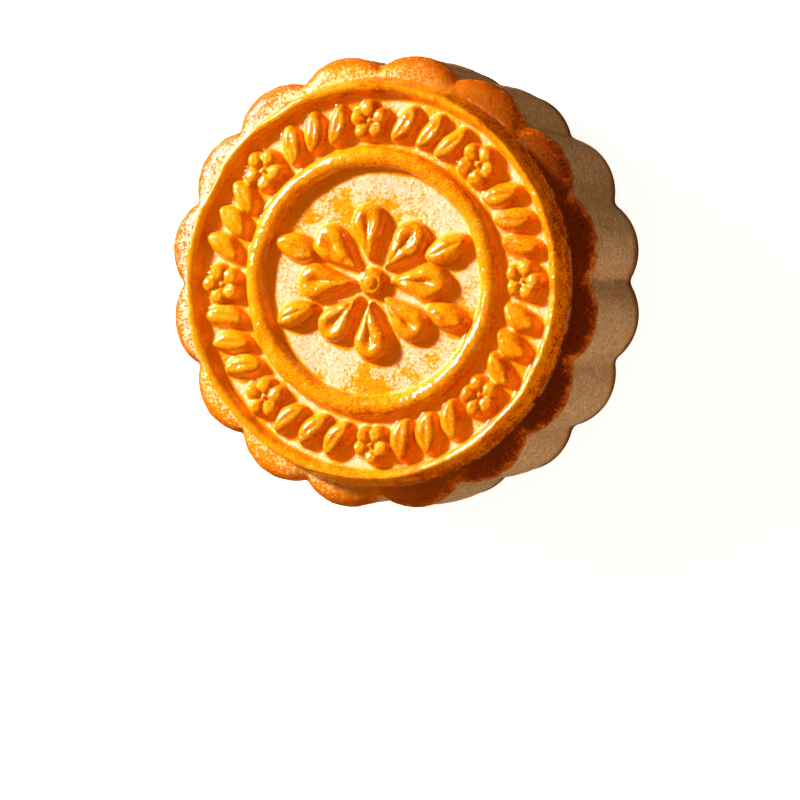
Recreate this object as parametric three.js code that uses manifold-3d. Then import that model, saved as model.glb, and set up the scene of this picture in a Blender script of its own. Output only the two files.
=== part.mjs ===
// A moulded mooncake, in millimetres, +Z up, with its origin at the centre of its flat base.
// It is one solid: a scalloped cake whose top carries two rings, a garland between them and a flower.
import * as THREE from "three";
import { mergeVertices } from "three/addons/utils/BufferGeometryUtils.js";
import Module from "manifold-3d";

// The cake. Its outline is a row of round lobes with a sharp crease between neighbours.
const LOBES = 16;
const TIP_RADIUS = 37.5; // to a lobe's tip, at the widest level, just under the top edge
const CREASE_RADIUS = 35.3; // to a crease, at the same level
const HEIGHT = 32.5; // base to the crest of the outer ring
const TAPER = 1.3; // the wall leans in by this much from the top edge down to the base
const BULGE = 0.6; // and swells by this much at half height
const BASE_ROUNDING = 2.6;
const EDGE_ROUNDING = 1.6;
const EDGE_LOBE = 0.85; // the share of the scallop that is left at the inner end of the edge's rounding
const CREASE_DROP = 0.2; // how far the top edge sinks at a crease, for each millimetre that the crease cuts in

// The top. Levels are above the base, and each ring lies between the radii of its inner and outer foot.
const FLOOR = 30.3; // the channel and the middle
const SHOULDER = 28.5; // the outer foot of the outer ring, from where the lobes slope down
const EDGE = 28.2; // the end of that slope
const OUTER_RING = { inner: 30.5, outer: 33.4, crest: HEIGHT };
const INNER_RING = { inner: 18.6, outer: 22.3, crest: 32.4 };
const RING_FULLNESS = 2.3; // the exponent of a ring's section, where 2 is an ellipse and more is squarer
const STAMP_OFFSET = { x: -0.3, y: -0.1 }; // the stamp was pressed a little off the middle

// The garland: groups of one blossom and some slanted leaves.
const GARLAND_GROUPS = 8;
const GARLAND_LEAVES = 3; // in each group
const GARLAND_RADIUS = 26.5;
const GARLAND_HEIGHT = 2; // above the floor
const BOSS_SHARE = 0.8; // the height of a small blossom's boss, as a share of its petals'
const BLOSSOM_SHARE = 0.36; // the share of a group's arc that its blossom takes
const LEAF = { length: 7.2, width: 4.2, widest: 0.45, bend: 0.5 };
const LEAF_FULLNESS = 0.55; // the exponent of a leaf's outline, where less is fuller
const LEAF_SLANT = THREE.MathUtils.degToRad(-24);
const BLOSSOM = { petals: 5, reach: 2.1, petalRadius: 1.6, bossRadius: 0.95 };

// The flower in the middle: drop-shaped petals round a boss, and two leaves at each side.
const FLOWER_PETALS = 8;
const FLOWER_HEIGHT = 2.15; // above the floor
const FLOWER_PETAL = { length: 9.8, width: 6.4, widest: 0.66, bend: 0 };
const FLOWER_PETAL_RADIUS = 8; // to a petal's middle
const FLOWER_BOSS = { radius: 2.4, height: 2 };
const FLOWER_LEAF = { length: 7.8, width: 4.6, widest: 0.45, bend: 0.4 };
const FLOWER_LEAF_RADIUS = 14.2; // to a leaf's middle
const FLOWER_LEAF_ANGLES = [-22.5, 22.5, 157.5, 202.5].map(THREE.MathUtils.degToRad); // from +X

// Mesh fineness
const SEGMENTS = LOBES * 6;
const RING_STEPS = 6;
const ROUNDING_STEPS = 3;
const WALL_STEPS = 3;
const LEAF_SIDES = 8;
const LEAF_STEPS = 6;
const BEAD_SIDES = 8;
const BEAD_STEPS = 4;

const CRUST = new THREE.MeshStandardMaterial({ color: 0xd98a3a, roughness: 0.45, metalness: 0 });

const lerp = THREE.MathUtils.lerp;

// How far the outline lies inside the circle through the lobe tips. Each lobe is one circular arc.
const ARC_CENTRE =
  (TIP_RADIUS ** 2 - CREASE_RADIUS ** 2) /
  (2 * (TIP_RADIUS - CREASE_RADIUS * Math.cos(Math.PI / LOBES)));
const ARC_RADIUS = TIP_RADIUS - ARC_CENTRE;

function dip(angle) {
  const turns = (angle / (2 * Math.PI)) * LOBES;
  const fromTip = ((turns - Math.floor(turns) - 0.5) * 2 * Math.PI) / LOBES;
  const across = ARC_CENTRE * Math.sin(fromTip);
  const reach = ARC_CENTRE * Math.cos(fromTip) + Math.sqrt(ARC_RADIUS ** 2 - across ** 2);
  return TIP_RADIUS - reach;
}

// A station is a point of the cake's half section. Its lobe says how much of the scallop it follows.
function station(r, z, lobe) {
  return { r, z, lobe };
}

function wallRadius(z) {
  const t = (z - BASE_ROUNDING) / (EDGE - EDGE_ROUNDING - BASE_ROUNDING);
  return TIP_RADIUS - TAPER * (1 - t) + BULGE * Math.sin(Math.PI * t) * (1 - t);
}

function baseStations() {
  const made = [station(0, 0, 0)];
  const foot = wallRadius(BASE_ROUNDING);
  for (let i = 0; i <= ROUNDING_STEPS; i++) {
    const a = (i / ROUNDING_STEPS) * (Math.PI / 2);
    const r = foot - BASE_ROUNDING * (1 - Math.sin(a));
    made.push(station(r, BASE_ROUNDING * (1 - Math.cos(a)), 1));
  }
  return made;
}

function wallStations() {
  const top = EDGE - EDGE_ROUNDING;
  return Array.from({ length: WALL_STEPS }, (_, i) => {
    const z = lerp(BASE_ROUNDING, top, (i + 1) / WALL_STEPS);
    return station(wallRadius(z), z, 1);
  });
}

// The rounded top edge, and the lobes' slope from it up to the foot of the outer ring.
function lobeStations() {
  const made = [];
  for (let i = 1; i <= ROUNDING_STEPS; i++) {
    const a = (i / ROUNDING_STEPS) * (Math.PI / 2);
    const r = TIP_RADIUS - EDGE_ROUNDING * (1 - Math.cos(a));
    const lobe = lerp(1, EDGE_LOBE, i / ROUNDING_STEPS);
    made.push(station(r, EDGE - EDGE_ROUNDING * (1 - Math.sin(a)), lobe));
  }
  const r = (TIP_RADIUS - EDGE_ROUNDING + OUTER_RING.outer) / 2;
  made.push(station(r, (EDGE + SHOULDER) / 2, EDGE_LOBE / 2));
  return made;
}

// A ring's section from its outer foot over the crest to its inner foot.
function ringStations(ring, outerFoot, innerFoot) {
  const middle = (ring.inner + ring.outer) / 2;
  const half = (ring.outer - ring.inner) / 2;
  return Array.from({ length: RING_STEPS + 1 }, (_, i) => {
    const a = (i / RING_STEPS) * Math.PI;
    const across = Math.sign(Math.cos(a)) * Math.abs(Math.cos(a)) ** (2 / RING_FULLNESS);
    const up = Math.abs(Math.sin(a)) ** (2 / RING_FULLNESS);
    const foot = i < RING_STEPS / 2 ? outerFoot : innerFoot;
    return station(middle + half * across, lerp(foot, ring.crest, up), 0);
  });
}

function cakeBody() {
  const stations = [
    ...baseStations(),
    ...wallStations(),
    ...lobeStations(),
    ...ringStations(OUTER_RING, SHOULDER, FLOOR),
    ...ringStations(INNER_RING, FLOOR, FLOOR),
    station(0, FLOOR, 0),
  ];
  const points = stations.map((s) => new THREE.Vector2(s.r, s.z));
  const geometry = new THREE.LatheGeometry(points, SEGMENTS).rotateX(Math.PI / 2);
  const position = geometry.attributes.position;
  for (let i = 0; i < position.count; i++) {
    const { r, z, lobe } = stations[i % stations.length];
    const angle = Math.atan2(position.getY(i), position.getX(i));
    const reach = r - lobe * dip(angle);
    const onTop = z >= EDGE - EDGE_ROUNDING;
    const drop = onTop ? CREASE_DROP * (r - reach) : 0;
    const shift = onTop ? 1 - lobe : 0;
    const x = reach * Math.cos(angle) + shift * STAMP_OFFSET.x;
    const y = reach * Math.sin(angle) + shift * STAMP_OFFSET.y;
    position.setXYZ(i, x, y, z - drop);
  }
  return geometry;
}

// A leaf or petal along Y: a spindle with pointed ends, bent sideways and half sunk in the floor.
function leaf({ length, width, widest, bend }, height) {
  const profile = Array.from({ length: LEAF_STEPS + 1 }, (_, i) => {
    const t = i / LEAF_STEPS;
    const along = t ** (Math.log(0.5) / Math.log(widest));
    return new THREE.Vector2(Math.sin(Math.PI * along) ** LEAF_FULLNESS, (t - 0.5) * length);
  });
  const geometry = new THREE.LatheGeometry(profile, LEAF_SIDES).scale(width / 2, 1, height);
  const position = geometry.attributes.position;
  for (let i = 0; i < position.count; i++) {
    const along = (2 * position.getY(i)) / length;
    position.setX(i, position.getX(i) + bend * (1 - along ** 2));
  }
  return geometry;
}

// A round bead, half sunk in the floor.
function bead(radius, height) {
  const ball = new THREE.SphereGeometry(1, BEAD_SIDES, BEAD_STEPS).rotateX(Math.PI / 2);
  return ball.scale(radius, radius, height);
}

// Moves a shape whose outward direction is +Y to its place on the floor.
function place(geometry, radius, angle, turn = 0) {
  return geometry.rotateZ(turn).translate(0, radius, 0).rotateZ(angle - Math.PI / 2);
}

function smallBlossom() {
  const made = [bead(BLOSSOM.bossRadius, GARLAND_HEIGHT * BOSS_SHARE)];
  for (let i = 0; i < BLOSSOM.petals; i++) {
    const angle = Math.PI / 2 + (i * 2 * Math.PI) / BLOSSOM.petals;
    made.push(place(bead(BLOSSOM.petalRadius, GARLAND_HEIGHT), BLOSSOM.reach, angle));
  }
  return made;
}

function garland() {
  const group = (2 * Math.PI) / GARLAND_GROUPS;
  const made = [];
  for (let g = 0; g < GARLAND_GROUPS; g++) {
    const start = Math.PI / 2 + g * group;
    smallBlossom().forEach((part) => made.push(place(part, GARLAND_RADIUS, start)));
    for (let i = 0; i < GARLAND_LEAVES; i++) {
      const share = BLOSSOM_SHARE / 2 + ((i + 0.5) / GARLAND_LEAVES) * (1 - BLOSSOM_SHARE);
      const shape = leaf(LEAF, GARLAND_HEIGHT);
      made.push(place(shape, GARLAND_RADIUS, start + share * group, LEAF_SLANT));
    }
  }
  return made;
}

function flower() {
  const made = [bead(FLOWER_BOSS.radius, FLOWER_BOSS.height)];
  for (let i = 0; i < FLOWER_PETALS; i++) {
    const angle = Math.PI / 2 + (i * 2 * Math.PI) / FLOWER_PETALS;
    made.push(place(leaf(FLOWER_PETAL, FLOWER_HEIGHT), FLOWER_PETAL_RADIUS, angle));
  }
  FLOWER_LEAF_ANGLES.forEach((angle) => {
    made.push(place(leaf(FLOWER_LEAF, FLOWER_HEIGHT), FLOWER_LEAF_RADIUS, angle));
  });
  return made;
}

const wasm = await Module();
wasm.setup();

function solidOf(geometry) {
  geometry.deleteAttribute("normal");
  geometry.deleteAttribute("uv");
  const merged = mergeVertices(geometry, 1e-4);
  return new wasm.Manifold(
    new wasm.Mesh({
      numProp: 3,
      vertProperties: new Float32Array(merged.attributes.position.array),
      triVerts: new Uint32Array(merged.index.array),
    }),
  );
}

function geometryOf(solid) {
  const { vertProperties, triVerts } = solid.getMesh();
  const geometry = new THREE.BufferGeometry();
  geometry.setAttribute("position", new THREE.BufferAttribute(vertProperties, 3));
  geometry.setIndex(new THREE.BufferAttribute(triVerts, 1));
  geometry.computeVertexNormals();
  return geometry;
}

function mooncake() {
  let cake = solidOf(cakeBody());
  for (const part of [...garland(), ...flower()]) {
    cake = cake.add(solidOf(part.translate(STAMP_OFFSET.x, STAMP_OFFSET.y, FLOOR)));
  }
  const mesh = new THREE.Mesh(geometryOf(cake), CRUST);
  mesh.name = "mooncake";
  return mesh;
}

const group = new THREE.Group();
group.add(mooncake());

export default group;
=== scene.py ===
# A moulded mooncake, lying flat with its stamped and glazed face up.
# Lengths are in millimetres, as in the CAD model. MM turns them into metres for Blender.
import math

import bpy
import numpy as np
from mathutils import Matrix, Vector


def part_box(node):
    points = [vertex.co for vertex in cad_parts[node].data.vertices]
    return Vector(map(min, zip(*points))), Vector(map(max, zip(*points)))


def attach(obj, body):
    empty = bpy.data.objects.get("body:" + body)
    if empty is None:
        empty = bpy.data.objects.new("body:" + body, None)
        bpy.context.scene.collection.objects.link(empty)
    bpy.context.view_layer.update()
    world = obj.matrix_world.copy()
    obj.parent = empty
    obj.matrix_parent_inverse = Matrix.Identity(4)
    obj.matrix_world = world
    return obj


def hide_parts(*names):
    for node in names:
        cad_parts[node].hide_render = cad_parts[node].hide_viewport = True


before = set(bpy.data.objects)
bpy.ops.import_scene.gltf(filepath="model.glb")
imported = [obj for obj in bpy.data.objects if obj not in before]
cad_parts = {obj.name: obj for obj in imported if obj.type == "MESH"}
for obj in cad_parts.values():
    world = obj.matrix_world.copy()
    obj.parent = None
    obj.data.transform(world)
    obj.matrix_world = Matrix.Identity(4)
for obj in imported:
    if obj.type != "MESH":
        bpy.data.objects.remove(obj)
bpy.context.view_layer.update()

MM = 0.001
NODE = "mooncake"

# The cake. Its outline is a row of round lobes with a crease between neighbours.
LOBES = 16
TIP_RADIUS = 37.5  # to a lobe's tip, at the widest level
CREASE_RADIUS = 35.3  # to a crease, at the same level
HEIGHT = (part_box(NODE)[1].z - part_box(NODE)[0].z) / MM  # base to the crest of the outer ring
TAPER = 1.3  # the wall leans in by this much from the top edge down to the base
BULGE = 0.6  # and swells by this much at half height
BASE_ROUNDING = 2.6
EDGE_ROUNDING = 1.8
EDGE_ARC = math.radians(58)  # how much of a quarter turn the rounded top edge takes
EDGE_LOBE = 0.88  # the share of the scallop that is left at the inner end of the edge's rounding
CREASE_DROP = 0.2  # how far the top edge sinks for each millimetre that a crease cuts in
CREASE_SOFTNESS = 0.45  # half the width over which a crease is rounded off on the top
WALL_SOFTNESS = 0.72  # and on the wall

# The top. Levels are above the base. Each ring lies between the radii of its inner and outer foot.
FLOOR = HEIGHT - 2.2
SHOULDER = HEIGHT - 4.0  # where the lobes start, at the outer foot of the outer ring
EDGE = HEIGHT - 4.3  # where their slope ends
OUTER_RING = {"inner": 30.5, "outer": 33.4, "crest": HEIGHT - 0.15}
INNER_RING = {"inner": 18.6, "outer": 22.3, "crest": HEIGHT - 0.15}
PUFF = 1.95  # the exponent of a ridge's section, where 2 is an ellipse and more is squarer
WALL_SLOPE = 3.4  # the steepest that a ridge rises
CREST_SOFTNESS = 0.5  # of the line where a ridge's steepest part turns into its crest
JOIN = 0.22  # the softness of the line where motifs meet
RING_JOIN = 0.3  # and where they meet a ring
FILLET = 0.4  # and where a ridge meets the floor
FAR_OUTSIDE = -5.0  # a height and depth where there is no motif
DEPTH_LIMIT = 2  # the greatest depth inside or outside an outline that the material is given
STAMP_OFFSET = (-0.3, -0.1)  # the stamp was pressed a little off the middle

# The garland between the rings: groups of one blossom and some slanted leaves.
GARLAND_GROUPS = 8
GARLAND_LEAVES = 3
GARLAND_RADIUS = 26.5
GARLAND_HEIGHT = 2.0
BLOSSOM_SHARE = 0.36  # the share of a group's arc that its blossom takes
LEAF = {"length": 7.2, "width": 4.2, "bend": 0.5}
LEAF_SLANT = math.radians(-24)
LEAF_PUFF = 0.47  # a leaf swells to its full height over this share of its width
VEIN = {"depth": 0.25, "width": 0.36}
BLOSSOM = {"petals": 5, "reach": 2.0, "petal": 1.75, "puff": 1.25, "overlap": 0.3, "extent": 6}
BLOSSOM_BOSS = {"radius": 0.9, "height": 1.75}

# The flower in the middle: scooped petals round a boss, and two leaves at each side.
FLOWER_PETALS = 8
FLOWER_HEIGHT = 2.15
FLOWER_PETAL = {"inner": 3.1, "outer": 12.9, "tip": 0.6, "head": 3.2}
PETAL_PUFF = 0.65  # a petal swells to its full height over this share of its head's radius
SCOOP = {"depth": 0.55, "width": 1.0, "length": 1.7}  # in a petal's head
PETAL_GROOVE = {"depth": 0.35, "width": 0.4}
FLOWER_BOSS = {"radius": 2.4, "height": 2.0, "extent": 5}
BOSS_PUFF = 0.8
BOSS_GROOVE = {"depth": 0.4, "radius": 1.15, "width": 0.3}
FLOWER_LEAF = {"length": 7.8, "width": 4.6, "bend": 0.4}
FLOWER_LEAF_RADIUS = 14.2
FLOWER_LEAF_ANGLES = [math.radians(a) for a in (-22.5, 22.5, 157.5, 202.5)]

# Painted shadow: wash is put on the floor behind each ridge, in the direction that the key lamp's
# shadows fall, up to about this far.
SHADOW_FALL = (math.cos(math.radians(-33)), math.sin(math.radians(-33)))
SHADOW_REACH = (0.9, 1.8)

# How uneven the cake is. A layer of waves has a height, a wavelength, a seed and a number of waves.
WARP, WARP_WAVELENGTH = 0.1, 11  # how far the stamp's lines waver
MOTIF_SPREAD = {"shift": 0.09, "turn": 1.8, "size": 0.025, "lift": 0.035}  # turn in degrees
CREASE_GROOVE = {"depth": 0.45, "width": 1.3}  # across the lobes, at each crease
LOBE_SWELL = 0.16
ROUGH_LAYERS = [(0.02, 2.6, 5, 60), (0.013, 0.9, 6, 80)]
SWELL_LAYERS = [(0.1, 16, 7, 36), (0.035, 7, 8, 36)]
PITS = {"count": 70, "seed": 9, "radius": 0.28, "depth": 0.16}

# Mesh fineness
FULL_TURN = 640  # vertices round the widest rings
HALVING_RADIUS = 13  # a ring inside this has half as many, inside half of it a quarter, and so on
FEWEST = 20
RING_STEP = 0.26
STEEP_STEPS = 11  # down the outer ring's outer side
EDGE_STEPS = 11
ROUNDING_STEPS = 6  # at the top edge, and at the base
UPPER_WALL_STEPS, UPPER_WALL_STEP = 5, 0.4
FINE_WALL_RINGS = 3  # the wall's uppermost rings have a full turn of vertices, the others half
WALL_STEP = 0.85
BASE_STEP = 1.6


# --- Small tools for shapes ---


def smooth_step(x, low, high):
    t = np.clip((x - low) / (high - low), 0, 1)
    return t * t * (3 - 2 * t)


def smooth_max(a, b, width):
    share = np.clip(0.5 + 0.5 * (a - b) / width, 0, 1)
    return b + (a - b) * share + width * share * (1 - share)


def smooth_min(a, b, width):
    return -smooth_max(-a, -b, width)


def bell(x, width):
    return np.exp(-((x / width) ** 2))


def waves(points, wavelength, seed, count=36):
    """Smooth noise of about that wavelength, with mean 0 and variance 1."""
    rng = np.random.default_rng(seed)
    direction = rng.normal(size=(count, points.shape[1]))
    direction /= np.linalg.norm(direction, axis=1, keepdims=True)
    length = wavelength * rng.uniform(0.65, 1.5, count)
    phase = rng.uniform(0, 2 * np.pi, count)
    turns = points @ (direction * (2 * np.pi / length)[:, None]).T
    return np.cos(turns + phase).sum(1) / math.sqrt(count / 2)


def wave_sum(points, layers):
    return sum(height * waves(points, *layer) for height, *layer in layers)


# --- The outline ---

ARC_CENTRE = (TIP_RADIUS**2 - CREASE_RADIUS**2) / (
    2 * (TIP_RADIUS - CREASE_RADIUS * math.cos(math.pi / LOBES))
)
ARC_RADIUS = TIP_RADIUS - ARC_CENTRE


def sharp_dip(angle):
    """How far the outline, a row of circular arcs, lies inside the circle through their tips."""
    turns = angle / (2 * np.pi) * LOBES
    from_tip = (turns - np.floor(turns) - 0.5) * 2 * np.pi / LOBES
    across = ARC_CENTRE * np.sin(from_tip)
    return TIP_RADIUS - ARC_CENTRE * np.cos(from_tip) - np.sqrt(ARC_RADIUS**2 - across**2)


def dip(angle, softness=CREASE_SOFTNESS):
    spread = np.linspace(-1, 1, 7) * softness / TIP_RADIUS
    return np.mean([sharp_dip(angle + s) for s in spread], axis=0)


def from_crease(angle):
    """The distance along the rim to the nearest crease."""
    turns = angle / (2 * np.pi) * LOBES
    return np.abs(turns - np.round(turns)) * 2 * np.pi / LOBES * CREASE_RADIUS


def wall_radius(z):
    t = (z - BASE_ROUNDING) / (EDGE - EDGE_ROUNDING - BASE_ROUNDING)
    return TIP_RADIUS - TAPER * (1 - t) + BULGE * np.sin(np.pi * t) * (1 - t)


# --- The stamped face: depths inside an outline, and the ridges they carry ---


def local(x, y, radius, angle, turn=0.0):
    """Coordinates in the frame of a motif whose outward direction is +Y."""
    a = math.pi / 2 - angle
    u = math.cos(a) * x - math.sin(a) * y
    v = math.sin(a) * x + math.cos(a) * y - radius
    return math.cos(turn) * u + math.sin(turn) * v, -math.sin(turn) * u + math.cos(turn) * v


def leaf_depth(x, y, length, width, rounding=1.25):
    """The depth inside a leaf along Y, which is two arcs with their points rounded off."""
    half_length = length / 2 - rounding
    half_width = width / 2 - rounding
    radius = (half_length**2 + half_width**2) / (2 * half_width)
    centre = radius - half_width
    beyond = (np.abs(y) - half_length) * centre > np.abs(x) * half_length
    point = np.hypot(x, np.abs(y) - half_length)
    side = np.hypot(np.abs(x) + centre, y) - radius
    return rounding - np.where(beyond, point, side)


def petal_depth(x, y, tip, head, length):
    """The depth inside a petal along Y, from its small tip at 0 to its big head at the length."""
    x = np.abs(x)
    lean = (tip - head) / length
    rise = math.sqrt(1 - lean**2)
    along = -lean * x + rise * y
    depth = tip - np.hypot(x, y)
    body = tip - (x * rise + y * lean)
    end = head - np.hypot(x, y - length)
    return np.where(along < 0, depth, np.where(along > rise * length, end, body))


def puff(depth, half, height):
    """The height of a puffed ridge at a depth inside its outline. It is negative outside."""
    t = np.clip(depth / half, 0, 1)
    dome = height * (1 - (1 - t) ** PUFF) ** (1 / PUFF)
    return smooth_min(dome, WALL_SLOPE * depth, CREST_SOFTNESS)


class Relief:
    """Heights above the floor, and depths inside an outline, at points of the stamped face."""

    def __init__(self, x, y):
        self.x, self.y = x, y
        self.height = np.full(len(x), FAR_OUTSIDE)
        self.depth = np.full(len(x), FAR_OUTSIDE)
        self.rng = np.random.default_rng(15)

    def near(self, radius, angle, reach):
        centre = radius * math.cos(angle), radius * math.sin(angle)
        return np.hypot(self.x - centre[0], self.y - centre[1]) < reach

    def add(self, where, height, depth, join=JOIN):
        self.height[where] = smooth_max(self.height[where], height, join)
        self.depth[where] = np.maximum(self.depth[where], depth)

    def jitter(self):
        """A motif's own shift, turn, size and height: no two on a cake are quite alike."""
        shift = self.rng.normal(0, MOTIF_SPREAD["shift"], 2)
        turn = math.radians(self.rng.normal(0, MOTIF_SPREAD["turn"]))
        size = self.rng.normal(1, MOTIF_SPREAD["size"])
        lift = self.rng.normal(1, MOTIF_SPREAD["lift"])
        return shift, turn, size, lift

    def motif(self, radius, angle, extent, slant=0.0):
        """The points near a motif, their coordinates in its frame, and its share of full height."""
        shift, turn, size, lift = self.jitter()
        where = self.near(radius, angle, extent)
        x, y = local(self.x[where], self.y[where], radius, angle, slant + turn)
        return where, (x - shift[0]) / size, (y - shift[1]) / size, lift

    def leaf(self, shape, height, radius, angle, slant=0.0):
        where, x, y, lift = self.motif(radius, angle, shape["length"], slant)
        x = x - shape["bend"] * (1 - np.clip(2 * y / shape["length"], -1, 1) ** 2)
        depth = leaf_depth(x, y, shape["length"], shape["width"])
        vein = VEIN["depth"] * bell(x, VEIN["width"]) * smooth_step(depth, 0.7, 1.6)
        self.add(where, puff(depth, shape["width"] * LEAF_PUFF, height * lift) - vein, depth)

    def blossom(self, angle):
        where, x, y, lift = self.motif(GARLAND_RADIUS, angle, BLOSSOM["extent"])
        r = np.hypot(x, y)
        half_turn = math.pi / BLOSSOM["petals"]  # half the angle from one petal to the next
        for i in range(BLOSSOM["petals"]):
            u, v = local(x, y, BLOSSOM["reach"], math.pi / 2 + i * 2 * half_turn)
            depth = BLOSSOM["petal"] - np.hypot(u, v)
            side = r * math.sin(half_turn) - np.abs(u) * math.cos(half_turn)
            depth = smooth_min(depth, side + BLOSSOM["overlap"], BLOSSOM["overlap"])
            self.add(where, puff(depth, BLOSSOM["puff"], GARLAND_HEIGHT * lift), depth)
        depth = BLOSSOM_BOSS["radius"] - r
        self.add(where, puff(depth, BLOSSOM_BOSS["radius"], BLOSSOM_BOSS["height"]), depth)

    def petal(self, angle):
        shape = FLOWER_PETAL
        start = shape["inner"] + shape["tip"]
        length = shape["outer"] - shape["head"] - start
        where, x, y, lift = self.motif(start, angle, 2 * length)
        depth = petal_depth(x, y, shape["tip"], shape["head"], length)
        scoop = SCOOP["depth"] * bell(x, SCOOP["width"]) * bell(y - length, SCOOP["length"])
        groove = PETAL_GROOVE["depth"] * bell(x, PETAL_GROOVE["width"])
        groove = groove * smooth_step(y, 0, 2) * smooth_step(length - y, -1, 1)
        lowered = (scoop + groove) * smooth_step(depth, 0.4, 1.3)
        height = puff(depth, shape["head"] * PETAL_PUFF, FLOWER_HEIGHT * lift)
        self.add(where, height - lowered, depth)

    def boss(self):
        where = self.near(0, 0, FLOWER_BOSS["extent"])
        r = np.hypot(self.x[where], self.y[where])
        depth = FLOWER_BOSS["radius"] - r
        groove = BOSS_GROOVE["depth"] * bell(r - BOSS_GROOVE["radius"], BOSS_GROOVE["width"])
        dome = puff(depth, FLOWER_BOSS["radius"] * BOSS_PUFF, FLOWER_BOSS["height"])
        self.add(where, dome - groove, depth)

    def ring(self, ring, outer_foot):
        r = np.hypot(self.x, self.y)
        middle = (ring["inner"] + ring["outer"]) / 2
        half = (ring["outer"] - ring["inner"]) / 2
        rise = ring["crest"] - FLOOR
        inner = puff(r - ring["inner"], half, rise)
        outer = outer_foot + puff(ring["outer"] - r, half, rise - outer_foot)
        everywhere = np.ones(len(r), bool)
        height = np.where(r < middle, inner, outer)
        self.add(everywhere, height, half - np.abs(r - middle), RING_JOIN)


def stamped_relief(x, y):
    """The rings, the garland and the flower, on a slightly wavering stamp."""
    points = np.c_[x, y]
    warp_x, warp_y = (WARP * waves(points, WARP_WAVELENGTH, seed) for seed in (1, 2))
    face = Relief(x + warp_x, y + warp_y)
    face.ring(OUTER_RING, SHOULDER - FLOOR)
    face.ring(INNER_RING, 0.0)
    for g in range(GARLAND_GROUPS):
        step = 2 * math.pi / GARLAND_GROUPS
        start = math.pi / 2 + g * step
        face.blossom(start)
        for i in range(GARLAND_LEAVES):
            share = BLOSSOM_SHARE / 2 + (i + 0.5) / GARLAND_LEAVES * (1 - BLOSSOM_SHARE)
            face.leaf(LEAF, GARLAND_HEIGHT, GARLAND_RADIUS, start + share * step, LEAF_SLANT)
    for i in range(FLOWER_PETALS):
        face.petal(math.pi / 2 + i * 2 * math.pi / FLOWER_PETALS)
    for angle in FLOWER_LEAF_ANGLES:
        face.leaf(FLOWER_LEAF, FLOWER_HEIGHT, FLOWER_LEAF_RADIUS, angle)
    face.boss()
    return face


# --- The cake's mesh: rings of vertices, from the middle of the top to the middle of the base ---


class Rings:
    """Closed rings of vertices. Each has its radius before the scallop, its level, its share of the
    scallop, its place on the lobes' slope, and the part of the cake that it belongs to."""

    def __init__(self):
        self.rows = []
        self.counts = []

    def add(self, count, radius, z, lobe, slope, part):
        angle = np.arange(count) * 2 * np.pi / count
        values = [np.full(count, value, float) for value in (radius, z, lobe, slope, part)]
        self.rows.append(np.column_stack([angle, *values]))
        self.counts.append(count)

    def columns(self):
        return np.concatenate(self.rows).T


TOP, LOBE, WALL, BASE = range(4)  # the parts of the cake
LOBE_WIDTH = TIP_RADIUS - EDGE_ROUNDING * (1 - math.cos(EDGE_ARC)) - OUTER_RING["outer"]


def ring_count(radius):
    """Fewer vertices round the smaller rings."""
    count = FULL_TURN
    while count > FEWEST and radius < count / FULL_TURN * HALVING_RADIUS:
        count //= 2
    return count


def lobe_level(u):
    """The lobes' slope, from the ring's foot to the rounded edge, steeper as it goes."""
    end = EDGE - EDGE_ROUNDING * (1 - math.sin(EDGE_ARC))
    return SHOULDER - (SHOULDER - end) * (0.6 * u + 0.4 * u**2)


def cake_rings():
    rings = Rings()
    crest = (OUTER_RING["inner"] + OUTER_RING["outer"]) / 2
    last = OUTER_RING["outer"]
    for i in range(1, round(crest / RING_STEP) + 1):
        radius = i * crest / round(crest / RING_STEP)
        rings.add(ring_count(radius), radius, FLOOR, 0, 0, TOP)
    for i in range(1, STEEP_STEPS + 1):
        rings.add(FULL_TURN, crest + (last - crest) * i / STEEP_STEPS, SHOULDER, 0, 0, TOP)
    for i in range(1, EDGE_STEPS + 1):
        u = i / EDGE_STEPS
        rings.add(FULL_TURN, last + u * LOBE_WIDTH, lobe_level(u), EDGE_LOBE * u**1.15, u, LOBE)
    top = EDGE - EDGE_ROUNDING
    for i in range(1, ROUNDING_STEPS + 1):
        a = EDGE_ARC * (1 - i / ROUNDING_STEPS)
        radius = TIP_RADIUS - EDGE_ROUNDING * (1 - math.cos(a))
        lobe = EDGE_LOBE + (1 - EDGE_LOBE) * i / ROUNDING_STEPS
        rings.add(FULL_TURN, radius, top + EDGE_ROUNDING * math.sin(a), lobe, 1, LOBE)
    levels = [top - UPPER_WALL_STEP * i for i in range(1, UPPER_WALL_STEPS + 1)]
    steps = round((levels[-1] - BASE_ROUNDING) / WALL_STEP)
    levels += [levels[-1] - (levels[-1] - BASE_ROUNDING) * (i + 1) / steps for i in range(steps)]
    for i, z in enumerate(levels):
        count = FULL_TURN if i < FINE_WALL_RINGS else FULL_TURN // 2
        rings.add(count, wall_radius(z), z, 1, 1, WALL)
    foot = wall_radius(BASE_ROUNDING)
    # Known fault: these rings rise inward, which leaves a groove under the rim. A rounded foot, as
    # on the CAD solid, needs cos(a) in the level.
    for i in range(1, ROUNDING_STEPS + 1):
        a = math.pi / 2 * (1 - i / ROUNDING_STEPS)
        radius = foot - BASE_ROUNDING * (1 - math.sin(a))
        z = BASE_ROUNDING * (1 - math.cos(math.pi / 2 - a))
        rings.add(FULL_TURN // 2, radius, z, 1, 1, WALL)
    inner = foot - BASE_ROUNDING
    steps = round(inner / BASE_STEP)
    for i in range(1, steps):
        radius = inner * (1 - i / steps)
        count = min(FULL_TURN // 2, ring_count(radius))
        rings.add(count, radius, 0, (1 - i / steps) ** 2, 1, BASE)
    return rings


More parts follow.
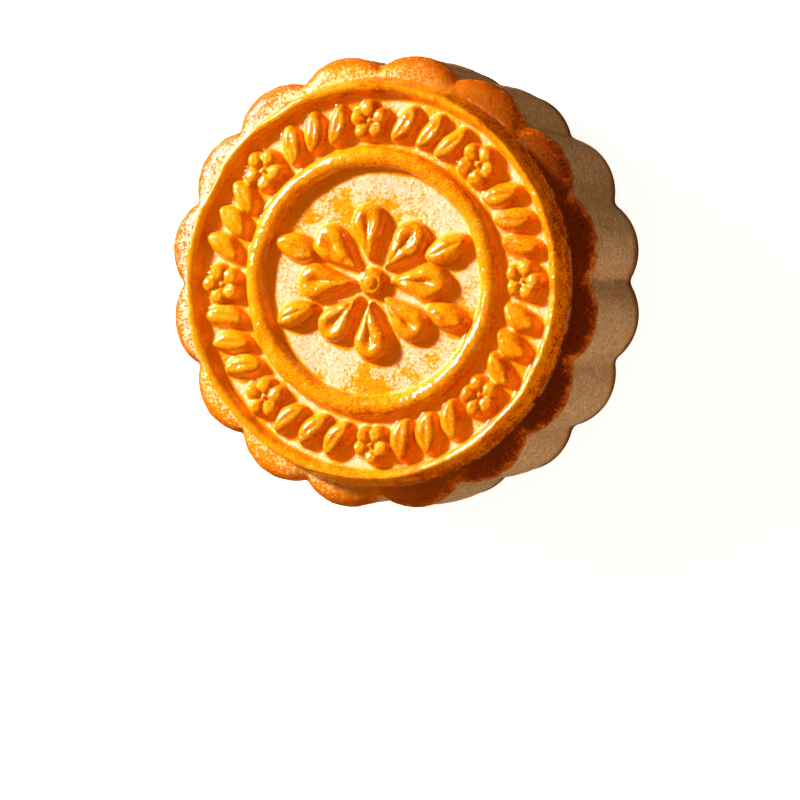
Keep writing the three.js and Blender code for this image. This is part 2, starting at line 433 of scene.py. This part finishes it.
def ring_faces(counts):
    """Quads between rings of like count, triangles where it changes, and a fan at each end."""
    starts = np.concatenate([[1], 1 + np.cumsum(counts)])
    faces = [(0, 1 + i, 1 + (i + 1) % counts[0]) for i in range(counts[0])]
    for k in range(len(counts) - 1):
        a, b = starts[k], starts[k + 1]
        n, m = counts[k], counts[k + 1]
        if n == m:
            faces += [(a + i, b + i, b + (i + 1) % n, a + (i + 1) % n) for i in range(n)]
        elif m == 2 * n:
            for i in range(n):
                j = (i + 1) % n
                faces += [(a + i, b + 2 * i, b + 2 * i + 1), (a + i, b + 2 * i + 1, a + j)]
                faces.append((a + j, b + 2 * i + 1, b + (2 * i + 2) % m))
        else:
            for i in range(m):
                j = (i + 1) % m
                faces += [(a + 2 * i, b + i, a + 2 * i + 1), (a + 2 * i + 1, b + i, b + j)]
                faces.append((a + 2 * i + 1, b + j, a + (2 * i + 2) % n))
    last, end = starts[-2], starts[-1]
    n = counts[-1]
    faces += [(last + i, end, last + (i + 1) % n) for i in range(n)]
    return [tuple(int(v) for v in f) for f in faces]


def pits(points, count, seed, radius, depth):
    """Small round dents at chance places of the surface."""
    rng = np.random.default_rng(seed)
    centres = points[rng.integers(0, len(points), count)]
    sizes = radius * rng.uniform(0.6, 1.4, count)
    dent = np.zeros(len(points))
    for centre, size in zip(centres, sizes):
        distance = np.linalg.norm(points - centre, axis=1)
        dent += depth * bell(distance, size)
    return dent


def cake_surface(rings):
    """Positions and per-vertex looks of the whole cake."""
    angle, radius, z, lobe, slope, part = rings.columns()
    on_top = part <= LOBE
    cut = np.where(on_top, dip(angle), dip(angle, WALL_SOFTNESS))
    reach = radius - lobe * cut
    drop = CREASE_DROP * lobe * cut * on_top
    shift = np.where(on_top, 1 - lobe, 0)
    x0, y0 = reach * np.cos(angle), reach * np.sin(angle)

    face = stamped_relief(x0, y0)
    # Painted shadow: the relief's depth a little way back towards the key lamp, which tells where a
    # ridge shades the floor.
    behind = [stamped_relief(x0 - d * SHADOW_FALL[0], y0 - d * SHADOW_FALL[1]).depth for d in SHADOW_REACH]
    fade = np.where(slope < 1, slope**1.5, (1 - lobe) / (1 - EDGE_LOBE)) * (part == LOBE)
    groove = CREASE_GROOVE["depth"] * bell(from_crease(angle), CREASE_GROOVE["width"]) * fade
    swell = LOBE_SWELL * np.sin(np.pi * slope) * smooth_step(from_crease(angle), 0.5, 5)
    level = smooth_max(face.height + FLOOR, z + swell, FILLET)
    z = np.where(on_top, level, z) - drop - groove
    points = np.c_[x0 + shift * STAMP_OFFSET[0], y0 + shift * STAMP_OFFSET[1], z]
    looks = {
        "depth": np.where(on_top, np.clip(face.depth, -DEPTH_LIMIT, DEPTH_LIMIT), -DEPTH_LIMIT),
        "lee": np.clip(np.max(behind, axis=0), -DEPTH_LIMIT, DEPTH_LIMIT),
        "lobe": slope,
        "crease": bell(from_crease(angle), 2.0) * (part >= LOBE),
    }
    return points, looks, part


def outward(points, faces):
    """Vertex normals, by area."""
    triangles = [f[:3] for f in faces] + [(f[0], f[2], f[3]) for f in faces if len(f) == 4]
    corners = np.array(triangles).T
    a, b, c = points[corners]
    normal = np.cross(b - a, c - a)
    total = np.zeros_like(points)
    for corner in corners:
        np.add.at(total, corner, normal)
    return total / np.linalg.norm(total, axis=1, keepdims=True)


def unevenness(points, part):
    """How far the baked dough stands out of its moulded shape. It doesn't at the base."""
    top = part <= LOBE
    wall = smooth_step(-points[:, 2], -EDGE + 0.5, -EDGE + 3)
    above = smooth_step(points[:, 2], 0.3, 3)
    rough = wave_sum(points, ROUGH_LAYERS)
    swell = wave_sum(points, SWELL_LAYERS)
    amount = rough * (1 + 0.4 * wall) + swell * np.where(top, 0.6, 1.0)
    amount[top] -= pits(points[top], **PITS)
    return amount * above


def build_mesh(name, points, faces, looks):
    mesh = bpy.data.meshes.new(name)
    mesh.from_pydata((points * MM).tolist(), [], faces)
    mesh.validate()
    mesh.shade_smooth()
    for look, values in looks.items():
        layer = mesh.attributes.new(look, "FLOAT", "POINT")
        layer.data.foreach_set("value", np.asarray(values, np.float32))
    piece = bpy.data.objects.new(name, mesh)
    bpy.context.scene.collection.objects.link(piece)
    return piece


def cake():
    rings = cake_rings()
    points, looks, part = cake_surface(rings)
    centre_top = [STAMP_OFFSET[0], STAMP_OFFSET[1], points[0, 2]]
    points = np.vstack([centre_top, points, [0, 0, 0]])
    looks = {k: np.concatenate([[v[0]], v, [v[-1]]]) for k, v in looks.items()}
    part = np.concatenate([[TOP], part, [BASE]])
    faces = ring_faces(rings.counts)
    points = points + outward(points, faces) * unevenness(points, part)[:, None]
    points[:, 2] = np.clip(points[:, 2], 0, None)
    return build_mesh("stamped_cake", points, faces, looks)


# --- Materials ---


def rgb(red, green, blue):
    """A colour as it looks on screen, from 0 to 255, turned into Blender's linear values."""
    def linear(c):
        c /= 255
        return c / 12.92 if c <= 0.04045 else ((c + 0.055) / 1.055) ** 2.4
    return (linear(red), linear(green), linear(blue), 1.0)


class Graph:
    """Shorthand for shader nodes. Each call makes one node and returns its output."""

    def __init__(self, name):
        self.material = bpy.data.materials.new(name)
        self.material.use_nodes = True
        self.tree = self.material.node_tree
        self.shader = self.tree.nodes["Principled BSDF"]
        self.place = self.make("ShaderNodeTexCoord").outputs["Object"]

    def make(self, kind):
        return self.tree.nodes.new(kind)

    def set(self, socket, value):
        if isinstance(value, bpy.types.NodeSocket):
            self.tree.links.new(value, socket)
        else:
            socket.default_value = value

    def math(self, operation, a, b=0.0):
        node = self.make("ShaderNodeMath")
        node.operation = operation
        self.set(node.inputs[0], a)
        self.set(node.inputs[1], b)
        return node.outputs[0]

    def add(self, total, *others):
        for other in others:
            total = self.math("ADD", total, other)
        return total

    def times(self, a, b):
        return self.math("MULTIPLY", a, b)

    def swing(self, noise, amount):
        """How far the noise is from its middle, times the amount."""
        return self.times(self.add(noise, -0.5), amount)

    def step(self, value, low, high, to_low=0.0, to_high=1.0):
        node = self.make("ShaderNodeMapRange")
        node.interpolation_type = "SMOOTHSTEP"
        self.set(node.inputs["Value"], value)
        self.set(node.inputs["From Min"], low)
        self.set(node.inputs["From Max"], high)
        self.set(node.inputs["To Min"], to_low)
        self.set(node.inputs["To Max"], to_high)
        return node.outputs[0]

    def blend(self, share, a, b):
        """From number a to number b."""
        node = self.make("ShaderNodeMix")
        self.set(node.inputs["Factor"], share)
        self.set(node.inputs[2], a)
        self.set(node.inputs[3], b)
        return node.outputs[0]

    def attribute(self, name):
        node = self.make("ShaderNodeAttribute")
        node.attribute_name = name
        return node.outputs["Fac"]

    def noise(self, size, detail, roughness=0.5):
        """Noise with features of about that size, from 0 to 1."""
        node = self.make("ShaderNodeTexNoise")
        self.set(node.inputs["Vector"], self.place)
        self.set(node.inputs["Scale"], 1 / (size * MM))
        self.set(node.inputs["Detail"], detail)
        self.set(node.inputs["Roughness"], roughness)
        return node.outputs["Fac"]

    def streaks(self, x, y, reach, across, along):
        """Noise drawn out round the middle of the cake. The reach is the distance from there."""
        turned = self.make("ShaderNodeCombineXYZ")
        self.set(turned.inputs[0], self.times(reach, 1 / (across * MM)))
        self.set(turned.inputs[1], self.times(x, 1 / (along * MM)))
        self.set(turned.inputs[2], self.times(y, 1 / (along * MM)))
        node = self.make("ShaderNodeTexNoise")
        self.set(node.inputs["Vector"], turned.outputs[0])
        self.set(node.inputs["Scale"], 1.0)
        self.set(node.inputs["Detail"], 2.0)
        return node.outputs["Fac"]

    def mix(self, factor, a, b):
        node = self.make("ShaderNodeMix")
        node.data_type = "RGBA"
        self.set(node.inputs["Factor"], factor)
        self.set(node.inputs[6], a)
        self.set(node.inputs[7], b)
        return node.outputs[2]

    def ramp(self, factor, stops):
        node = self.make("ShaderNodeValToRGB")
        self.set(node.inputs[0], factor)
        elements = node.color_ramp.elements
        while len(elements) < len(stops):
            elements.new(0.5)
        for element, (position, colour) in zip(elements, stops):
            element.position = position
            element.color = colour
        return node.outputs[0]

    def bump(self, height, distance):
        node = self.make("ShaderNodeBump")
        node.inputs["Strength"].default_value = 1.0
        node.inputs["Distance"].default_value = distance * MM
        self.set(node.inputs["Height"], height)
        return node.outputs[0]


# Towards the lower right, where the key lamp's shadows fall, the lobes and the outer ring's outer
# side are painted darker as shade. Towards the upper left, where the lamp shines, the lobes are
# painted paler as light.
LOWER_RIGHT = (0.978, -0.208)  # directions on the face, towards painted shade and painted light
UPPER_LEFT = (-0.92, 0.39)

DOUGH = rgb(236, 203, 190)
FLOUR = rgb(250, 236, 214)
THIN_WASH = rgb(242, 204, 154)
FLECK, PALEST_FLECK = rgb(230, 142, 4), rgb(222, 122, 3)
LOBE_EDGE = rgb(204, 106, 3)
PALE_LINE = rgb(204, 150, 112)
# The last tan is painted shade for the wall's creases.
TAN, DEEP_TAN, CREASE_SHADE_TAN = rgb(228, 191, 148), rgb(210, 168, 124), rgb(172, 122, 76)
WALL_GRAIN, WALL_FLOUR = rgb(168, 117, 72), rgb(248, 229, 194)
TOAST, DEEP_TOAST = rgb(196, 140, 78), rgb(160, 102, 48)
GLAZE_STOPS = [  # bare dough, then thicker and browner egg wash
    (0.00, DOUGH),
    (0.16, rgb(238, 186, 124)),
    (0.32, rgb(240, 168, 14)),
    (0.50, rgb(240, 158, 4)),
    (0.66, rgb(230, 128, 3)),
    (0.82, rgb(168, 84, 5)),
    (1.00, rgb(82, 34, 5)),
]
CRUST_FINISH = {
    "Specular IOR Level": 0.08,
    "Coat Roughness": 0.05,
    "Coat IOR": 1.6,
    "Subsurface Weight": 0.12,
    "Subsurface Radius": (1.0, 0.55, 0.15),
    "Subsurface Scale": 1.2 * MM,
}
GLOSS_WAVES, CRUST_ROUGHNESS = 0.11, 0.11  # how deep the bumps of the coat and of the crust are


class Crust:
    """The crust's washes and colours, from the mesh's looks, the place on the cake, and noise."""

    def __init__(self):
        self.g = g = Graph("crust")
        looks = ("depth", "lee", "lobe", "crease")
        self.depth, self.lee, self.lobe, self.crease = (g.attribute(look) for look in looks)
        axes = g.make("ShaderNodeSeparateXYZ")
        g.set(axes.inputs[0], g.place)
        self.x, self.y, self.z = axes.outputs
        self.reach = g.math("SQRT", g.add(g.times(self.x, self.x), g.times(self.y, self.y)))
        self.patches = g.noise(7, 3, 0.55)
        self.mottle = g.noise(1.7, 3, 0.6)
        self.speckle = g.noise(0.5, 2, 0.6)
        self.fleck = g.noise(0.45, 2, 0.65)
        self.grain = g.noise(0.28, 2, 0.6)
        # Painted shade towards the lower right, and painted light towards the upper left.
        self.side = g.step(self.towards(LOWER_RIGHT), -18 * MM, 34 * MM)
        self.palest = g.step(self.towards(UPPER_LEFT), 18 * MM, 34 * MM)
        self.on_lobe = g.step(self.lobe, 0.0, 0.03)
        # The level from which the edge of the wash is reckoned, so that it wavers
        self.worn = g.add(self.z, g.swing(self.mottle, 3 * MM), g.swing(self.speckle, 1.8 * MM))

    def towards(self, direction):
        """How far a point lies from the cake's axis in that direction."""
        return self.g.add(self.g.times(self.x, direction[0]), self.g.times(self.y, direction[1]))

    def floor_wash(self):
        """Little wash, in pools and specks, with painted shadow behind the ridges and painted shade
        at their feet.
        """
        g = self.g
        pooled = g.step(g.add(self.patches, g.swing(self.speckle, 0.35)), 0.5, 0.66, 0.0, 0.38)
        specks = g.times(g.step(self.speckle, 0.46, 0.7), 0.2)
        # Painted shadow: wash where a ridge stands back towards the key lamp.
        painted_shadow = g.step(g.add(self.lee, g.swing(self.mottle, 1.2)), -0.4, 0.25, 0.02, 0.5)
        # Painted shade: a little wash at every ridge's foot.
        at_foot = g.step(g.add(self.depth, g.swing(self.mottle, 0.6)), -0.4, 0.0, 0.02, 0.2)
        return g.math("MAXIMUM", g.add(pooled, specks), g.math("MAXIMUM", painted_shadow, at_foot))

    def ridge_wash(self, outside):
        """Much wash, mottled and streaked, and less on the left. Painted shade adds more outside the
        outer ring at the lower right.
        """
        g = self.g
        outermost = g.step(self.reach, 28.5 * MM, 30.5 * MM)
        left = g.step(self.x, -8 * MM, -26 * MM)
        streak = g.streaks(self.x, self.y, self.reach, 0.45, 3.5)
        wash = g.add(
            g.step(self.depth, 0.1, 0.6, 0.58, 0.5),
            g.times(left, -0.08),
            # Painted shade on the outer ring's outer side towards the lower right.
            g.times(g.times(outside, self.side), 0.2),
            g.times(g.times(outermost, g.add(streak, -0.55)), 0.35),
            g.swing(self.mottle, g.blend(left, 0.65, 0.4)),
            g.swing(self.patches, 0.45),
            g.swing(self.grain, 0.5),
            g.swing(self.fleck, g.blend(left, 0.8, 0.5)),
        )
        return g.math("MINIMUM", wash, g.blend(outermost, 0.7, 0.8))  # browned, but not burnt

    def face_wash(self):
        """How much wash the stamped face carries, from none at 0."""
        g = self.g
        outside = g.step(self.reach, 31.8 * MM, 32.6 * MM)  # past the outer ring's crest
        ragged = g.add(self.depth, g.swing(self.speckle, 0.8))
        ridge = g.math("MAXIMUM", g.step(ragged, -0.1, 0.36), outside)
        return g.blend(ridge, self.floor_wash(), self.ridge_wash(outside))

    def face_colour(self, wash):
        """The wash's colour, with grains of flour where there is little of it."""
        g = self.g
        floury = g.times(g.step(self.grain, 0.46, 0.36), g.step(wash, 0.22, 0.08))
        return g.mix(floury, g.ramp(wash, GLAZE_STOPS), FLOUR)

    def lobe_flecks(self):
        """Where wash covers the lobes: in flecks, fewer towards the upper left as painted light, and
        all over towards the lower right as painted shade.
        """
        g = self.g
        cover = g.add(
            self.fleck,
            g.swing(self.mottle, 0.4),
            g.step(self.lobe, 0.1, 1.0, -0.05, 0.08),
            # Painted light: fewer flecks towards the upper left.
            g.blend(self.palest, 0.03, -0.03),
        )
        flecks = g.step(cover, 0.42, 0.58, 0.04, 1.0)
        # Painted shade: the lobes are covered all over towards the lower right.
        return g.math("MAXIMUM", flecks, g.step(self.side, 0.1, 0.5))

    def painted_shade_wash(self):
        """Painted shade: the wash of the dark lobes at the lower right, where the outer ring's shadow
        falls, thickest above their edge.
        """
        g = self.g
        rim = g.step(self.worn, (EDGE - 0.2) * MM, (EDGE - 1.3) * MM, 0.93, 0.76)
        return g.add(rim, g.swing(self.grain, 0.26))

    def lobe_colour(self, flecks, dark):
        """Pale and flecked, with a browned edge, and painted paler towards the upper left as light.
        At the lower right the lobes are painted dark as shade, from a broken pale line at the ring's
        foot."""
        g = self.g
        # Painted light: barer and paler towards the upper left.
        bare = g.mix(self.palest, THIN_WASH, DOUGH)
        flecked = g.mix(flecks, bare, g.mix(self.palest, FLECK, PALEST_FLECK))
        flecked = g.mix(g.times(g.step(self.lobe, 0.7, 1.0), 0.6), flecked, LOBE_EDGE)
        # Painted shade: dark lobes towards the lower right.
        colour = g.mix(self.side, flecked, g.ramp(dark, GLAZE_STOPS))
        pale_line = g.times(g.step(self.lobe, 0.2, 0.05), g.step(self.mottle, 0.4, 0.56))
        return g.mix(g.times(g.times(pale_line, self.side), 0.75), colour, PALE_LINE)

    def wall_colour(self):
        """Bare, floury and grainy, a little darker at the creases as painted shade, and toasted at
        the base.
        """
        g = self.g
        tan = g.mix(g.step(self.mottle, 0.3, 0.7), TAN, DEEP_TAN)
        tan = g.mix(g.times(g.step(self.grain, 0.48, 0.6), 0.6), tan, WALL_GRAIN)
        tan = g.mix(g.times(g.step(self.speckle, 0.54, 0.64), 0.6), tan, WALL_FLOUR)
        # Painted shade: the wall is a little darker at its creases.
        tan = g.mix(g.times(self.crease, 0.2), tan, CREASE_SHADE_TAN)
        toast = g.mix(g.step(self.patches, 0.35, 0.65), TOAST, DEEP_TOAST)
        low = g.step(g.add(self.z, g.swing(self.mottle, 4 * MM)), 4 * MM, 0.0)
        return g.mix(low, tan, toast)


def crust_material():
    crust = Crust()
    g = crust.g
    face_wash, flecks, dark = crust.face_wash(), crust.lobe_flecks(), crust.painted_shade_wash()
    glaze = g.mix(crust.on_lobe, crust.face_colour(face_wash), crust.lobe_colour(flecks, dark))
    wall = g.step(crust.worn, (EDGE - 0.8) * MM, (EDGE - 2.8) * MM)
    g.set(g.shader.inputs["Base Color"], g.mix(wall, glaze, crust.wall_colour()))

    # The wash is glossy, and the bare dough matt.
    wash = g.blend(crust.on_lobe, face_wash, g.blend(crust.side, g.times(flecks, 0.12), dark))
    coat = g.step(wash, 0.1, 0.5, 0.15, 1.0)
    rough = g.add(g.times(crust.grain, 0.6), g.times(crust.speckle, 0.9))
    g.set(g.shader.inputs["Roughness"], g.step(wash, 0.1, 0.5, 0.75, 0.55))
    g.set(g.shader.inputs["Coat Weight"], g.times(coat, g.math("SUBTRACT", 1.0, wall)))
    g.set(g.shader.inputs["Coat Normal"], g.bump(g.noise(0.5, 1), GLOSS_WAVES))
    g.set(g.shader.inputs["Normal"], g.bump(rough, CRUST_ROUGHNESS))
    for name, value in CRUST_FINISH.items():
        g.shader.inputs[name].default_value = value
    return g.material


def floor_material():
    g = Graph("pale_floor")
    g.shader.inputs["Base Color"].default_value = (0.4, 0.44, 0.48, 1)
    g.shader.inputs["Roughness"].default_value = 0.7
    g.shader.inputs["Emission Color"].default_value = (1, 1, 1, 1)
    g.shader.inputs["Emission Strength"].default_value = 0.62
    return g.material


# --- Camera, lights and floor ---

RIM_CENTRE = Vector((0, 0, 28.2))  # the point of the cake that the view was measured from
VIEW_TURN = [math.radians(a) for a in (-0.6, 20.43, -0.25)]  # from looking down, with +Y up
VIEW_OFFSET = Vector((3.4, -19.4, 818.9))  # rim centre to camera: right, up and back
LENS = 225
SENSOR = 36
CLIP_END = 20000

LIGHT_DISTANCE = 900  # from the rim's centre
DAYLIGHT = (1.0, 0.97, 0.93)
AMBER = (1.0, 0.75, 0.22)
WHITE = (1, 1, 1)
WORLD_COLOUR, WORLD_STRENGTH = (1.0, 0.6, 0.3, 1), 0.08
FLOOR_HALF_WIDTH = 3000


def add_camera():
    camera = bpy.data.objects.new("camera", bpy.data.cameras.new("camera"))
    camera.data.sensor_width = SENSOR
    camera.data.lens = LENS
    camera.data.clip_end = CLIP_END * MM
    camera.rotation_euler = VIEW_TURN
    camera.location = (RIM_CENTRE + camera.rotation_euler.to_matrix() @ VIEW_OFFSET) * MM
    bpy.context.scene.collection.objects.link(camera)
    bpy.context.scene.camera = camera


def add_light(name, azimuth, elevation, size, watts, colour, glints=False, diffuse=True):
    data = bpy.data.lights.new(name, "AREA")
    data.shape = "DISK"
    data.size = size * MM
    data.energy = watts
    data.color = colour
    light = bpy.data.objects.new(name, data)
    a, e = math.radians(azimuth), math.radians(elevation)
    direction = Vector((math.cos(e) * math.cos(a), math.cos(e) * math.sin(a), math.sin(e)))
    light.location = (RIM_CENTRE + direction * LIGHT_DISTANCE) * MM
    light.rotation_euler = direction.to_track_quat("Z", "Y").to_euler()
    light.visible_glossy = glints
    light.visible_diffuse = diffuse
    bpy.context.scene.collection.objects.link(light)


def add_world():
    world = bpy.data.worlds.new("world")
    world.use_nodes = True
    background = world.node_tree.nodes["Background"]
    background.inputs["Color"].default_value = WORLD_COLOUR
    background.inputs["Strength"].default_value = WORLD_STRENGTH
    bpy.context.scene.world = world


def add_floor():
    half = FLOOR_HALF_WIDTH * MM
    mesh = bpy.data.meshes.new("floor")
    corners = [(-half, -half, 0), (half, -half, 0), (half, half, 0), (-half, half, 0)]
    mesh.from_pydata(corners, [], [(0, 1, 2, 3)])
    floor = bpy.data.objects.new("floor", mesh)
    floor.data.materials.append(floor_material())
    floor.visible_diffuse = False  # the floor looks pale but throws no light back on the cake
    floor.visible_glossy = False
    bpy.context.scene.collection.objects.link(floor)


add_camera()
add_light("key", azimuth=147, elevation=29, size=120, watts=11.8, colour=DAYLIGHT, glints=True)
add_light("fill", azimuth=-66, elevation=2, size=100, watts=2.7, colour=DAYLIGHT)
add_light("side", azimuth=20, elevation=2, size=100, watts=1.5, colour=DAYLIGHT)
# A warm light overhead reaches into the shadows of the stamped face. The last makes only glints.
add_light("glow", azimuth=0, elevation=89, size=500, watts=2.4, colour=AMBER)
add_light(
    "glint", azimuth=160, elevation=36, size=220, watts=8, colour=WHITE, glints=True, diffuse=False
)
add_world()
add_floor()
bpy.context.scene.view_settings.view_transform = "Standard"
bpy.context.scene.view_settings.look = "High Contrast"

mooncake = cake()
mooncake.data.materials.append(crust_material())
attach(mooncake, "root")
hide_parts(NODE)
